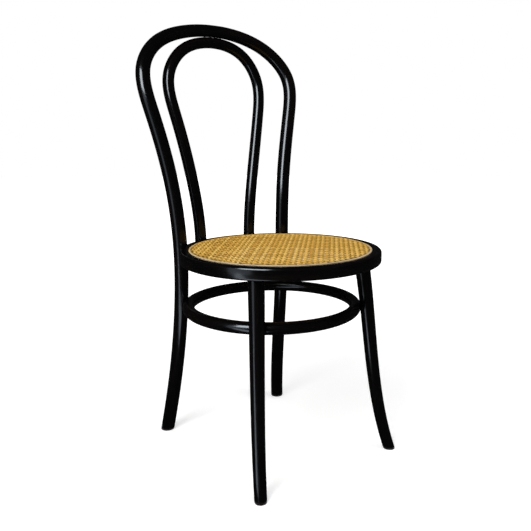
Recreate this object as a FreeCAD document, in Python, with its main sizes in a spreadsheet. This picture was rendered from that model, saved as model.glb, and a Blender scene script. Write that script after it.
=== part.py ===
"""Bentwood bistro chair: a tall bent hoop with an inner loop, a round cane seat and a ring round the legs.

The chair is made the way such chairs are made, of six pieces of steam-bent and turned beech. Bolts with
washers and nuts hold the rear legs, tenons the front ones, and a reed spline holds the cane in the seat.
Units are millimetres. X runs to the sitter's left, Y to the back and Z up. The pieces are worked out
with the seat's axis at X = Y = 0 and are then set down with the origin under the middle of the chair.
"""
import FreeCAD, Part
import math
import os

import Sketcher
from FreeCAD import Placement, Rotation, Vector

# Sizes that can be set, each with what it measures
SIZES = [
    ("seat_height", 431.8, "floor to the top of the seat ring"),
    ("seat_radius", 205.0, "outer edge of the seat ring"),
    ("seat_thickness", 25.2, "height of the seat ring"),
    ("seat_ring_width", 54.0, "from the outer to the inner edge of the seat ring"),
    ("seat_top_round", 4.0, "bevel of the ring's upper outer edge"),
    ("seat_bottom_round", 3.0, "bevel of the ring's lower outer edge"),
    ("groove_inset", 19.3, "outer wall of the groove for the cane, inside the ring's outer edge"),
    ("groove_depth", 7.0, "depth of that groove below the ring's top"),
    ("spline_width", 4.4, "width of the reed that locks the cane"),
    ("spline_crown", 0.7, "height of the reed above the ring"),
    ("cane_thickness", 1.1, "thickness of the woven cane"),
    ("cane_lip", 5.0, "length of the cane's edge turned down into the groove"),
    ("cane_pitch", 25.4, "distance from one gap of the web to the next"),
    ("cane_gap", 12.7, "width of a gap"),
    ("cane_border", 7.0, "closed weave between the gaps and the reed"),
    ("hoop_foot_x", 21.05, "rear foot, out from where the hoop bears on the seat ring"),
    ("hoop_foot_y", 50.27, "rear foot, back from there"),
    ("hoop_shin_x", 9.95, "rear leg low down, out from the hoop's bearing"),
    ("hoop_shin_y", 33.57, "rear leg low down, back from there"),
    ("hoop_shin_height", 100.0, "height of that point"),
    ("hoop_knee_x", -0.05, "rear leg at the ring round the legs, out from the hoop's bearing"),
    ("hoop_knee_y", 4.07, "rear leg at that ring, back from the bearing"),
    ("hoop_angle", 38.0, "where the hoop bears on the ring, in degrees from the back"),
    ("hoop_waist_x", 11.25, "hoop above the seat, out from its bearing"),
    ("hoop_waist_y", 8.17, "hoop above the seat, back from there"),
    ("hoop_waist_rise", 128.0, "height of that point above the seat"),
    ("hoop_chest_x", 40.05, "hoop below its widest point, out from its bearing"),
    ("hoop_chest_y", 23.87, "hoop below its widest point, back from there"),
    ("hoop_chest_drop", 178.0, "that point below the hoop's top centre line"),
    ("hoop_shoulder_x", 48.05, "hoop just above its widest point, out from its bearing"),
    ("hoop_shoulder_y", 40.27, "hoop just above its widest point, back from there"),
    ("hoop_shoulder_drop", 92.0, "that point below the hoop's top centre line"),
    ("hoop_brow_x", 2.05, "hoop on its upper bend, out from its bearing"),
    ("hoop_brow_y", 61.27, "hoop on its upper bend, back from there"),
    ("hoop_brow_drop", 33.0, "that point below the hoop's top centre line"),
    ("hoop_crown_x", -59.95, "hoop on its flat top, out from its bearing"),
    ("hoop_crown_y", 68.87, "hoop on its flat top, back from there"),
    ("hoop_crown_drop", 8.0, "that point below the hoop's top centre line"),
    ("hoop_top_y", 69.47, "hoop at the top, back from its bearing"),
    ("hoop_top_height", 878.0, "floor to the hoop's top centre line"),
    ("hoop_foot_radius", 14.7, "hoop rod at the floor"),
    ("hoop_knee_radius", 14.9, "hoop rod at the ring round the legs"),
    ("hoop_seat_radius", 15.0, "hoop rod at the seat"),
    ("hoop_shoulder_radius", 14.6, "hoop rod at its widest point"),
    ("hoop_top_radius", 12.5, "hoop rod at the top"),
    ("loop_angle", 17.4, "where the loop bears on the ring, in degrees from the back"),
    ("loop_end_rise", 3.0, "loop's end above the underside of the ring"),
    ("loop_waist_x", 14.14, "loop above the seat, out from where it bears on the seat ring"),
    ("loop_waist_y", 38.97, "loop above the seat, back from the hoop's bearing"),
    ("loop_waist_rise", 128.0, "height of that point above the seat"),
    ("loop_chest_x", 42.14, "loop below its widest point, out from its bearing"),
    ("loop_chest_y", 52.97, "loop below its widest point, back from the hoop's bearing"),
    ("loop_chest_drop", 155.0, "that point below the loop's top centre line"),
    ("loop_shoulder_x", 47.94, "loop just above its widest point, out from its bearing"),
    ("loop_shoulder_y", 65.27, "loop just above its widest point, back from the hoop's bearing"),
    ("loop_shoulder_drop", 75.0, "that point below the loop's top centre line"),
    ("loop_brow_x", 13.14, "loop on its upper bend, out from its bearing"),
    ("loop_brow_y", 70.57, "loop on its upper bend, back from the hoop's bearing"),
    ("loop_brow_drop", 22.8, "that point below the loop's top centre line"),
    ("loop_lean", 8.0, "loop's top behind the line straight down from the hoop's, in degrees"),
    ("loop_end_radius", 12.7, "loop rod at its ends"),
    ("loop_shoulder_radius", 12.3, "loop rod at its widest point"),
    ("loop_top_radius", 11.6, "loop rod at the top"),
    ("leg_foot_x", 36.75, "front foot, out from the leg's top"),
    ("leg_foot_y", 58.94, "front foot, forward from there"),
    ("leg_shin_x", 23.35, "front leg low down, out from its top"),
    ("leg_shin_y", 34.94, "front leg low down, forward from there"),
    ("leg_shin_height", 100.0, "height of that point"),
    ("leg_knee_x", 7.95, "front leg at the ring round the legs, out from its top"),
    ("leg_knee_y", 11.84, "front leg at that ring, forward from its top"),
    ("leg_angle", 53.0, "where the front leg meets the ring, in degrees from the front"),
    ("leg_inset", 39.4, "centre of the front leg's top inside the ring's outer edge"),
    ("leg_foot_radius", 12.0, "front leg at the floor"),
    ("leg_knee_radius", 14.6, "front leg at the ring round the legs"),
    ("leg_top_radius", 15.9, "front leg under the seat"),
    ("tenon_radius", 11.0, "turned end of the front leg"),
    ("tenon_length", 18.0, "that end above the leg's shoulder"),
    ("leg_ring_height", 306.3, "floor to the centre line of the ring round the legs"),
    ("leg_ring_radius", 12.2, "half the thickness of that ring"),
    ("leg_ring_bite", 2.0, "depth of the saddles that seat the ring on the legs"),
    ("rod_bite", 0.8, "depth of the flats where a rod bears on the seat ring"),
    ("seat_hold", 20.0, "half length of the straight part of the hoop that bears on the seat ring"),
    ("ring_hold", 16.0, "half length of the straight part of a leg at the ring round the legs"),
    ("saddle_hold", 9.0, "half length of the straight part of that ring at a leg"),
    ("top_hold", 8.0, "half length of the straight parts where the loop touches the hoop"),
    ("foot_round", 1.2, "eased edge round the end of each leg"),
    ("bolt_radius", 3.0, "bolt through the hoop and the seat ring"),
    ("bolt_head_radius", 7.5, "round head of that bolt"),
    ("bolt_head_height", 3.0, "height of that head"),
    ("bolt_sink", 3.6, "depth of the hole that hides that head"),
    ("nut_width", 10.0, "nut across its flats"),
    ("nut_height", 5.0, "thickness of the nut"),
    ("washer_radius", 8.0, "washer under the nut"),
    ("washer_thickness", 1.2, "thickness of the washer"),
    ("washer_seat", 2.2, "depth of the flat for the washer in the ring's inner wall"),
    ("bolt_tail", 2.0, "bolt standing out of the nut"),
    ("fit_clearance", 0.1, "room between a piece and the seat cut for it"),
    ("overrun", 12.0, "reach of a cutting shape past the wood"),
    ("end_room", 0.6, "room past the end of a tenon"),
]

# How far a bent piece may run inside its smooth line, from one outline to the next
BEND_DEPTH = 1.5
# A chord's length squared over this many times the bend's radius is the depth of the bend
CHORD_SHARE = 8
# Points at which a line is measured, and steps in which the ring round the legs finds its place
SAMPLES = 400
RING_STEPS = 60
SIDES = {1: "left", -1: "right"}
NUT_SIDES = 6
# How a sketch numbers its upright and level axis, and the two ends of a line
SKETCH_UPRIGHT, SKETCH_LEVEL = range(-2, 0)
LINE_START, LINE_END = range(1, 3)


def write_sizes(doc):
    """Put the sizes in the document's spreadsheet, one named cell each."""
    sheet = doc.addObject("Spreadsheet::Sheet", "sizes")
    for row, (alias, number, meaning) in enumerate(SIZES, start=1):
        sheet.set("A%d" % row, meaning)
        sheet.set("B%d" % row, str(number))
        sheet.setAlias("B%d" % row, alias)
    doc.recompute()
    return sheet


def bind(obj, **formulas):
    """Tie properties of an object to formulas that name the sheet's cells."""
    for prop, formula in formulas.items():
        obj.setExpression(prop, formula)


class Measure:
    """A length as a number, together with the formula that ties it to the sheet."""

    def __init__(self, number, formula):
        self.number = number
        self.formula = formula

    def __add__(self, other):
        return Measure(self.number + other.number, "(%s + %s)" % (self.formula, other.formula))

    def __sub__(self, other):
        return Measure(self.number - other.number, "(%s - %s)" % (self.formula, other.formula))

    def times(self, factor):
        """The length so many times over."""
        return Measure(self.number * factor, "(%s * %.12g)" % (self.formula, factor))


ZERO = Measure(0.0, "0")


def spans_in_bend(length, turn):
    """Number of straight spans, not yet rounded, that a bend of a length and a turn needs."""
    return math.sqrt(length * turn / (CHORD_SHARE * BEND_DEPTH))


class Rod:
    """A round rod bent along a smooth line through its knots.

    The knots are given as (name, point) and the radii by knot name. A rod that is alike on both sides has
    each name twice, first on the -X side. The line turns little from one outline to the next. Where another
    piece bears on the rod it is held straight and of one thickness.
    """

    def __init__(self, knots, radii):
        self.line = Part.BSplineCurve()
        self.line.interpolate([point for _, point in knots])
        self.places = {}
        for name, point in knots:
            self.places.setdefault(name, []).append(self.line.parameter(point))
        self.taper = sorted((place, radius) for name, radius in radii.items() for place in self.places[name])
        self.held = []

    def radius(self, place):
        """Radius at a place on the line, straight from one given radius to the next."""
        for (low, low_radius), (high, high_radius) in zip(self.taper, self.taper[1:]):
            if place <= high:
                return low_radius + (place - low) / (high - low) * (high_radius - low_radius)
        return self.taper[-1][1]

    def direction(self, place):
        """Unit vector along the line."""
        return self.line.tangent(place)[0]

    def hold_straight(self, name, half_length):
        """Keep the rod straight and even for a length before and after each knot of a name."""
        for place in self.places[name]:
            reach = half_length / self.line.getD1(place)[1].Length
            centre, along, radius = self.line.value(place), self.direction(place), self.radius(place)
            outlines = [(centre + along * step, along, radius) for step in (-half_length, half_length)]
            self.held.append((place - reach, place + reach, outlines))

    def end_level(self, name, ease=0.0, upright_length=0.0):
        """End the rod level at each knot of a name, with its edge eased or its end upright for a length."""
        for place in self.places[name]:
            centre, along, radius = self.line.value(place), self.direction(place), self.radius(place)
            upright = Vector(0, 0, math.copysign(1.0, along.z))
            inward = 1 if place == self.line.FirstParameter else -1
            outlines = [(centre, upright, radius - ease)]
            if ease:
                outlines.append((centre + along * (inward * ease / abs(along.z)), upright, radius))
            if upright_length:
                outlines.append((centre + upright * (inward * upright_length), upright, radius))
            reach = place + inward * upright_length / self.line.getD1(place)[1].Length
            self.held.append((min(place, reach), max(place, reach), outlines[::inward]))

    def places_between(self, low, high):
        """Places between two others, so close that the straight way between them leaves the line by little."""
        steps = [low + (high - low) * i / SAMPLES for i in range(SAMPLES + 1)]
        travel = [0.0]
        for start, end in zip(steps, steps[1:]):
            turn = self.direction(start).getAngle(self.direction(end))
            length = (self.line.value(end) - self.line.value(start)).Length
            travel.append(travel[-1] + spans_in_bend(length, turn))
        count = math.ceil(travel[-1])
        goals = [travel[-1] * i / count for i in range(1, count)]
        return [steps[min(range(SAMPLES + 1), key=lambda k: abs(travel[k] - goal))] for goal in goals]

    def solid(self):
        """The rod's solid, from its first end to its last."""
        spans = sorted(self.held, key=lambda span: span[0])
        outlines = [round_outline(*outline) for outline in spans[0][2]]
        for span, following in zip(spans, spans[1:]):
            for place in self.places_between(span[1], following[0]):
                outlines.append(round_outline(self.line.value(place), self.direction(place), self.radius(place)))
            outlines += [round_outline(*outline) for outline in following[2]]
        return Part.makeLoft(outlines, True, True)


def round_outline(centre, along, radius, aside=Vector(0, 1, 0)):
    """Circle square to a direction, started on the side that lies across that direction and another."""
    across = along.cross(aside).normalize()
    outline = Part.Wire(Part.makeCircle(radius))
    outline.Placement = Placement(centre, Rotation(across, along.cross(across), along, "ZXY"))
    return outline


def polar(radius, degrees_from_back, height):
    """Point at a radius from the seat's axis, turned from the back towards +X."""
    angle = math.radians(degrees_from_back)
    return Vector(radius * math.sin(angle), radius * math.cos(angle), height)


class Chair:
    """Lines, places and heights that several pieces share, worked out from the sheet."""

    def __init__(self, sheet):
        self.sheet = sheet
        self.seat_bottom = self.cell("seat_height") - self.cell("seat_thickness")
        self.seat_middle = self.cell("seat_height") - self.cell("seat_thickness").times(0.5)
        self.seat_inner = self.cell("seat_radius") - self.cell("seat_ring_width")
        self.groove_floor = self.cell("seat_height") - self.cell("groove_depth")
        self.groove_outer = self.cell("seat_radius") - self.cell("groove_inset")
        self.spline_outer = self.groove_outer - self.cell("fit_clearance")
        self.spline_inner = self.spline_outer - self.cell("spline_width")
        self.lip_outer = self.spline_inner - self.cell("fit_clearance")
        self.lip_inner = self.lip_outer - self.cell("cane_thickness")
        self.groove_inner = self.lip_inner - self.cell("fit_clearance")
        self.hoop_distance = self.cell("seat_radius") + self.cell("hoop_seat_radius") - self.cell("rod_bite")
        self.loop_distance = self.cell("seat_radius") + self.cell("loop_end_radius") - self.cell("rod_bite")
        self.hoop_bearing = polar(self.hoop_distance.number, self.size("hoop_angle"), self.seat_middle.number)
        self.hoop = self.hoop_rod()
        self.loop = self.loop_rod()
        self.legs = {side: self.leg_rod(side) for side in SIDES}
        self.leg_ring_y, self.leg_ring_bend = self.leg_ring_circle()

    def cell(self, alias):
        """A length of the sheet with its formula."""
        return Measure(self.size(alias), "sizes." + alias)

    def size(self, alias):
        """Number in a cell of the sheet."""
        return float(self.sheet.get(alias))

    def knot(self, name, bearing, height):
        """Named point at a height, out and back from where its rod bears on the seat ring."""
        out, back = self.size(name + "_x"), self.size(name + "_y")
        return name, Vector(bearing.x + out, self.hoop_bearing.y + back, height)

    def leg_knot(self, name, top, height, side):
        """Named point at a height, out and forward from the top of a front leg."""
        out, forward = self.size(name + "_x"), self.size(name + "_y")
        return name, Vector(top.x + side * out, top.y - forward, height)

    def hoop_rod(self):
        """Rear legs and outer back in one bend."""
        top = self.size("hoop_top_height")
        bearing = self.hoop_bearing
        half = [
            self.knot("hoop_foot", bearing, 0.0),
            self.knot("hoop_shin", bearing, self.size("hoop_shin_height")),
            self.knot("hoop_knee", bearing, self.size("leg_ring_height")),
            ("hoop_seat", bearing),
            self.knot("hoop_waist", bearing, self.size("seat_height") + self.size("hoop_waist_rise")),
            self.knot("hoop_chest", bearing, top - self.size("hoop_chest_drop")),
            self.knot("hoop_shoulder", bearing, top - self.size("hoop_shoulder_drop")),
            self.knot("hoop_brow", bearing, top - self.size("hoop_brow_drop")),
            self.knot("hoop_crown", bearing, top - self.size("hoop_crown_drop")),
            ("hoop_top", Vector(0, bearing.y + self.size("hoop_top_y"), top)),
        ]
        rod = self.bow(half, ["hoop_foot", "hoop_knee", "hoop_seat", "hoop_shoulder", "hoop_top"])
        rod.end_level("hoop_foot", self.size("foot_round"))
        rod.hold_straight("hoop_knee", self.size("ring_hold"))
        rod.hold_straight("hoop_seat", self.size("seat_hold"))
        rod.hold_straight("hoop_top", self.size("top_hold"))
        return rod

    def loop_rod(self):
        """Inner back, hung under the top of the hoop."""
        lean = math.radians(self.size("loop_lean"))
        reach = self.size("hoop_top_radius") + self.size("loop_top_radius") + self.size("fit_clearance")
        top = self.size("hoop_top_height") - reach * math.cos(lean)
        end = self.seat_bottom.number + self.size("loop_end_rise")
        bearing = polar(self.loop_distance.number, self.size("loop_angle"), self.size("seat_height"))
        half = [
            ("loop_end", Vector(bearing.x, bearing.y, end)),
            ("loop_seat", bearing),
            self.knot("loop_waist", bearing, self.size("seat_height") + self.size("loop_waist_rise")),
            self.knot("loop_chest", bearing, top - self.size("loop_chest_drop")),
            self.knot("loop_shoulder", bearing, top - self.size("loop_shoulder_drop")),
            self.knot("loop_brow", bearing, top - self.size("loop_brow_drop")),
            ("loop_top", Vector(0, self.hoop_bearing.y + self.size("hoop_top_y") + reach * math.sin(lean), top)),
        ]
        rod = self.bow(half, ["loop_end", "loop_shoulder", "loop_top"])
        rod.end_level("loop_end", upright_length=self.size("seat_height") - end + self.size("top_hold"))
        rod.hold_straight("loop_top", self.size("top_hold"))
        return rod

    def bow(self, half, measured):
        """Rod alike on both sides, from its knots on the +X side and those of them whose radius is known."""
        mirrored = [(name, Vector(-point.x, point.y, point.z)) for name, point in half[:-1]]
        return Rod(mirrored + half[::-1], {name: self.size(name + "_radius") for name in measured})

    def leg_rod(self, side):
        """Front leg from the floor to the seat ring."""
        top = polar(self.size("seat_radius") - self.size("leg_inset"), side * (180.0 - self.size("leg_angle")),
                    self.seat_bottom.number)
        knots = [
            self.leg_knot("leg_foot", top, 0.0, side),
            self.leg_knot("leg_shin", top, self.size("leg_shin_height"), side),
            self.leg_knot("leg_knee", top, self.size("leg_ring_height"), side),
            ("leg_top", top),
        ]
        measured = ["leg_foot", "leg_knee", "leg_top"]
        rod = Rod(knots, {name: self.size(name + "_radius") for name in measured})
        rod.end_level("leg_foot", self.size("foot_round"))
        rod.hold_straight("leg_knee", self.size("ring_hold"))
        rod.end_level("leg_top")
        return rod

    def tenon(self, side):
        """Middle of a front leg's shoulder and the way its tenon points."""
        leg = self.legs[side]
        place = leg.places["leg_top"][0]
        return leg.line.value(place), leg.direction(place)

    def leg_at_ring(self, side, end):
        """Place, direction and thickness of a leg at the ring round the legs."""
        rod, name = (self.hoop, "hoop_knee") if end == "rear" else (self.legs[side], "leg_knee")
        place = rod.places[name][0 if side < 0 else -1]
        return rod.line.value(place), rod.direction(place), self.cell(name + "_radius")

    def leg_ring_circle(self):
        """Middle and bend radius of the ring that lies inside the four legs and bites into each alike."""
        inward = self.size("leg_ring_radius") - self.size("leg_ring_bite")
        rear, _, rear_thickness = self.leg_at_ring(1, "rear")
        front, _, front_thickness = self.leg_at_ring(1, "front")
        middle = 0.0
        for _ in range(RING_STEPS):
            bend = math.hypot(rear.x, rear.y - middle) - rear_thickness.number - inward
            front_bend = math.hypot(front.x, front.y - middle) - front_thickness.number - inward
            middle -= (front_bend - bend) / 2
        return middle, bend

    def bolt_shoulder(self, side):
        """Where the head of the bolt through the hoop bears on the wood."""
        distance = self.hoop_distance + self.cell("hoop_seat_radius") - self.cell("bolt_sink")
        return polar(distance.number, side * self.size("hoop_angle"), self.seat_middle.number)

    def washer_back(self, side):
        """Middle of the flat that the washer bears on, in the ring's inner wall."""
        distance = self.seat_inner + self.cell("washer_seat")
        return polar(distance.number, side * self.size("hoop_angle"), self.seat_middle.number)


def make_feature(doc, name, shape):
    """A plain shape as an object of the document."""
    feature = doc.addObject("Part::Feature", name)
    feature.Shape = shape
    return feature


def make_cylinder(doc, name, start, direction, radius, height):
    """A cylinder from a point along a direction, its radius and height tied to the sheet."""
    cylinder = doc.addObject("Part::Cylinder", name)
    bind(cylinder, Radius=radius.formula, Height=height.formula)
    cylinder.Placement = Placement(start, Rotation(Vector(0, 0, 1), direction))
    return cylinder


def make_cut(doc, label, base, tools):
    """The base less all its tools."""
    group = doc.addObject("Part::MultiFuse", label + "_tools")
    group.Shapes = tools
    cut = doc.addObject("Part::Cut", label)
    cut.Base = base
    cut.Tool = group if len(tools) > 1 else tools[0]
    if len(tools) == 1:
        doc.removeObject(group.Name)
    cut.Refine = False
    cut.Label = label
    return cut


def make_fuse(doc, label, base, tool):
    """Two shapes joined in one solid."""
    fuse = doc.addObject("Part::Fuse", label)
    fuse.Base = base
    fuse.Tool = tool
    fuse.Refine = False
    fuse.Label = label
    return fuse


def outline_sketch(body, name, points):
    """Closed outline in the body's XZ plane, each point given by its x and z.

    A side whose two ends share a formula is held upright or level, so no formula is bound twice in a row.
    """
    sketch = body.newObject("Sketcher::SketchObject", name)
    plane = [item for item in body.Origin.OriginFeatures if item.Role == "XZ_Plane"][0]
    sketch.AttachmentSupport = [(plane, "")]
    sketch.MapMode = "FlatFace"
    count = len(points)
    corners = [Vector(x.number, z.number, 0) for x, z in points]
    for i in range(count):
        sketch.addGeometry(Part.LineSegment(corners[i], corners[(i + 1) % count]), False)
    for i in range(count):
        sketch.addConstraint(Sketcher.Constraint("Coincident", i, LINE_END, (i + 1) % count, LINE_START))
    for axis, level, kind, origin_line in ((0, "Vertical", "DistanceX", SKETCH_UPRIGHT),
                                           (1, "Horizontal", "DistanceY", SKETCH_LEVEL)):
        for i in range(count):
            formula = points[i][axis].formula
            if formula == points[(i + 1) % count][axis].formula:
                sketch.addConstraint(Sketcher.Constraint(level, i))
            if formula == points[i - 1][axis].formula:
                continue
            if formula == ZERO.formula:
                sketch.addConstraint(Sketcher.Constraint("PointOnObject", i, LINE_START, origin_line))
                continue
            distance = Sketcher.Constraint(kind, SKETCH_LEVEL, LINE_START, i, LINE_START, corners[i][axis])
            number = sketch.addConstraint(distance)
            sketch.setExpression("Constraints[%d]" % number, formula)
    return sketch


def turned_body(doc, label, points):
    """A body turned about its Z axis from an outline in its XZ plane."""
    body = doc.addObject("PartDesign::Body", label)
    body.Label = label
    turn = body.newObject("PartDesign::Revolution", label + "_turn")
    turn.Profile = outline_sketch(body, label + "_outline", points)
    turn.ReferenceAxis = (turn.Profile[0], ["V_Axis"])
    turn.Angle = 360
    doc.recompute()
    return body


def drill(body, name, start, direction, radius, depth):
    """A round hole in a body, its radius and depth tied to the sheet."""
    hole = body.newObject("PartDesign::SubtractiveCylinder", name)
    bind(hole, Radius=radius.formula, Height=depth.formula)
    hole.Placement = Placement(start, Rotation(Vector(0, 0, 1), direction))
    return hole


def make_seat_ring(doc, chair):
    """Bent beech ring with the cane's ledge and groove, the legs' sockets and the bores of its bolts."""
    inner = chair.seat_inner
    outer = chair.cell("seat_radius")
    bottom = chair.seat_bottom
    top = chair.cell("seat_height")
    ledge = top - chair.cell("cane_thickness")
    groove_wall = chair.groove_outer
    low_round = chair.cell("seat_bottom_round")
    high_round = chair.cell("seat_top_round")
    body = turned_body(doc, "seat_ring", [
        (inner, bottom), (outer - low_round, bottom), (outer, bottom + low_round),
        (outer, top - high_round), (outer - high_round, top),
        (groove_wall, top), (groove_wall, chair.groove_floor), (chair.groove_inner, chair.groove_floor),
        (chair.groove_inner, ledge), (inner, ledge),
    ])
    fit = chair.cell("fit_clearance")
    overrun = chair.cell("overrun")
    for side, hand in SIDES.items():
        angle = side * chair.size("hoop_angle")
        inside = polar(inner.number - overrun.number, angle, chair.seat_middle.number)
        outward = polar(1.0, angle, 0.0)
        drill(body, "bolt_bore_" + hand, inside, outward, chair.cell("bolt_radius") + fit,
              chair.cell("seat_ring_width") + overrun.times(2))
        drill(body, "washer_flat_" + hand, inside, outward, chair.cell("washer_radius") + fit,
              chair.cell("washer_seat") + overrun)
        shoulder, along = chair.tenon(side)
        drill(body, "leg_socket_" + hand, shoulder - along * overrun.number, along,
              chair.cell("tenon_radius") + fit, chair.cell("tenon_length") + chair.cell("end_room") + overrun)
    return body


def make_cane_spline(doc, chair):
    """Reed ring pressed into the groove over the cane's edge."""
    inner, outer = chair.spline_inner, chair.spline_outer
    top = chair.cell("seat_height") + chair.cell("spline_crown")
    return turned_body(doc, "cane_spline", [
        (inner, chair.groove_floor), (outer, chair.groove_floor), (outer, top), (inner, top),
    ])


def make_cane_panel(doc, chair):
    """Web of cane: one sheet with square gaps in rows, its edge turned down into the groove."""
    thickness = chair.size("cane_thickness")
    outer = chair.lip_outer.number
    level = chair.size("seat_height") - thickness
    pitch = chair.size("cane_pitch")
    half_gap = chair.size("cane_gap") / 2
    limit = outer - chair.size("cane_border") - half_gap * math.sqrt(2)
    rows = int(limit // pitch)
    edges = [Part.Wire(Part.makeCircle(outer, Vector(0, 0, level)))]
    for column in range(-rows, rows + 1):
        for row in range(-rows, rows + 1):
            if math.hypot(column, row) * pitch <= limit:
                edges.append(square(Vector(column * pitch, row * pitch, level), half_gap))
    web = Part.makeFace(edges, "Part::FaceMakerBullseye").extrude(Vector(0, 0, thickness))
    lip_length = chair.size("cane_lip")
    start = Vector(0, 0, level - lip_length)
    lip = Part.makeCylinder(outer, lip_length, start)
    lip = lip.cut(Part.makeCylinder(chair.lip_inner.number, lip_length, start))
    panel = make_feature(doc, "cane_panel", web.fuse(lip))
    panel.Label = "cane_panel"
    print("gaps in the cane:", len(edges) - 1)
    return panel


def square(centre, half):
    """Closed square outline with sides along X and Y."""
    corners = [centre + Vector(x * half, y * half, 0) for x, y in ((-1, -1), (1, -1), (1, 1), (-1, 1))]
    return Part.makePolygon(corners + corners[:1])


def make_ring_flat(doc, name, chair):
    """Copy of the seat ring's outer wall that cuts the flats for the rods that bear on it."""
    start = Vector(0, 0, chair.seat_bottom.number)
    radius = chair.cell("seat_radius") + chair.cell("fit_clearance")
    return make_cylinder(doc, name, start, Vector(0, 0, 1), radius, chair.cell("seat_thickness"))


def make_back_hoop(doc, chair):
    """Outer back and both rear legs, with the flats and bores where they are bolted to the seat ring."""
    fit = chair.cell("fit_clearance")
    overrun = chair.cell("overrun")
    tools = [make_ring_flat(doc, "hoop_flat", chair)]
    for side, hand in SIDES.items():
        angle = side * chair.size("hoop_angle")
        outward = polar(1.0, angle, 0.0)
        ring_wall = polar(chair.size("seat_radius") - overrun.number, angle, chair.seat_middle.number)
        tools.append(make_cylinder(doc, "hoop_bolt_bore_" + hand, ring_wall, outward,
                                   chair.cell("bolt_radius") + fit,
                                   chair.cell("hoop_seat_radius").times(2) + overrun.times(2)))
        tools.append(make_cylinder(doc, "hoop_bolt_mouth_" + hand, chair.bolt_shoulder(side), outward,
                                   chair.cell("bolt_head_radius") + fit, chair.cell("bolt_sink") + overrun))
    return make_cut(doc, "back_hoop", make_feature(doc, "hoop_rod", chair.hoop.solid()), tools)


def make_inner_back_loop(doc, chair):
    """Inner back, cut flat at both ends where they lie against the seat ring."""
    rod = make_feature(doc, "loop_rod", chair.loop.solid())
    return make_cut(doc, "inner_back_loop", rod, [make_ring_flat(doc, "loop_flat", chair)])


def make_front_leg(doc, chair, side, hand):
    """Front leg with a turned tenon above its shoulder."""
    label = "front_leg_" + hand
    overrun = chair.cell("overrun")
    shaft = make_feature(doc, label + "_shaft", chair.legs[side].solid())
    shoulder, along = chair.tenon(side)
    tenon = make_cylinder(doc, label + "_tenon", shoulder - along * overrun.number, along,
                          chair.cell("tenon_radius"), chair.cell("tenon_length") + overrun)
    return make_fuse(doc, label, shaft, tenon)


def make_leg_ring(doc, chair):
    """Bent ring inside the four legs, with a saddle at each."""
    middle = Vector(0, chair.leg_ring_y, chair.size("leg_ring_height"))
    reach = chair.cell("ring_hold")
    tools, bearings = [], []
    for side, hand in SIDES.items():
        for end in ("rear", "front"):
            centre, along, thickness = chair.leg_at_ring(side, end)
            tools.append(make_cylinder(doc, "saddle_%s_%s" % (end, hand), centre - along * reach.number, along,
                                       thickness + chair.cell("fit_clearance"), reach.times(2)))
            bearings.append(math.degrees(math.atan2(centre.x - middle.x, centre.y - middle.y)))
    ring = bent_ring(middle, chair.leg_ring_bend, chair.size("leg_ring_radius"), sorted(bearings),
                     chair.size("saddle_hold"))
    return make_cut(doc, "leg_ring", make_feature(doc, "leg_ring_rod", ring), tools)


def bent_ring(middle, bend, radius, bearings, hold):
    """Closed round rod about an upright axis, straight for a hold both ways from each bearing in degrees."""
    places = []
    margin = math.degrees(math.atan(hold / bend))
    for bearing, following in zip(bearings, bearings[1:] + [bearings[0] + 360.0]):
        places += [(bearing, -hold), (bearing, hold)]
        free = following - bearing - 2 * margin
        count = math.ceil(spans_in_bend(bend * math.radians(free), math.radians(free)))
        places += [(bearing + margin + free * i / count, 0.0) for i in range(1, count)]
    outlines = []
    for angle, step in places:
        ahead = polar(1.0, angle + 90.0, 0.0)
        centre = middle + polar(bend, angle, 0.0) + ahead * step
        outlines.append(round_outline(centre, ahead, radius, aside=Vector(0, 0, 1)))
    return Part.makeLoft(outlines, True, True, True)


def make_bolt(doc, label, chair, side):
    """Round-headed bolt through the hoop and the seat ring."""
    radius, head = chair.cell("bolt_radius"), chair.cell("bolt_head_radius")
    crown = chair.cell("bolt_head_height")
    wood = chair.hoop_distance + chair.cell("hoop_seat_radius") - chair.cell("bolt_sink")
    wood = wood - chair.seat_inner - chair.cell("washer_seat")
    tail = chair.cell("washer_thickness") + chair.cell("nut_height") + chair.cell("bolt_tail")
    end = ZERO - wood - tail
    body = turned_body(doc, label, [
        (ZERO, crown), (head, crown), (head, ZERO), (radius, ZERO), (radius, end), (ZERO, end),
    ])
    outward = polar(1.0, side * chair.size("hoop_angle"), 0.0)
    body.Placement = Placement(chair.bolt_shoulder(side), Rotation(Vector(0, 0, 1), outward))
    return body


def make_washer(doc, label, chair, side):
    """Flat washer against the ring's inner wall."""
    bore = chair.cell("bolt_radius") + chair.cell("fit_clearance")
    edge, thickness = chair.cell("washer_radius"), chair.cell("washer_thickness")
    body = turned_body(doc, label, [(bore, ZERO), (edge, ZERO), (edge, thickness), (bore, thickness)])
    inward = polar(-1.0, side * chair.size("hoop_angle"), 0.0)
    body.Placement = Placement(chair.washer_back(side), Rotation(Vector(0, 0, 1), inward))
    return body


def make_nut(doc, label, chair, side):
    """Six-sided nut on the bolt's end."""
    body = doc.addObject("PartDesign::Body", label)
    body.Label = label
    prism = body.newObject("PartDesign::AdditivePrism", label + "_prism")
    prism.Polygon = NUT_SIDES
    bind(prism, Circumradius="sizes.nut_width / 2 / cos(180 deg / %d)" % NUT_SIDES, Height="sizes.nut_height")
    doc.recompute()
    drill(body, label + "_bore", Vector(0, 0, 0), Vector(0, 0, 1),
          chair.cell("bolt_radius") + chair.cell("fit_clearance").times(0.5), chair.cell("nut_height"))
    inward = polar(-1.0, side * chair.size("hoop_angle"), 0.0)
    face = chair.washer_back(side) + inward * chair.size("washer_thickness")
    body.Placement = Placement(face, Rotation(Vector(0, 0, 1), inward))
    return body


def make_group(doc, label, members):
    """Identical fasteners as separate solids of one piece."""
    group = doc.addObject("Part::Compound", label)
    group.Links = members
    group.Label = label
    return group


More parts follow.
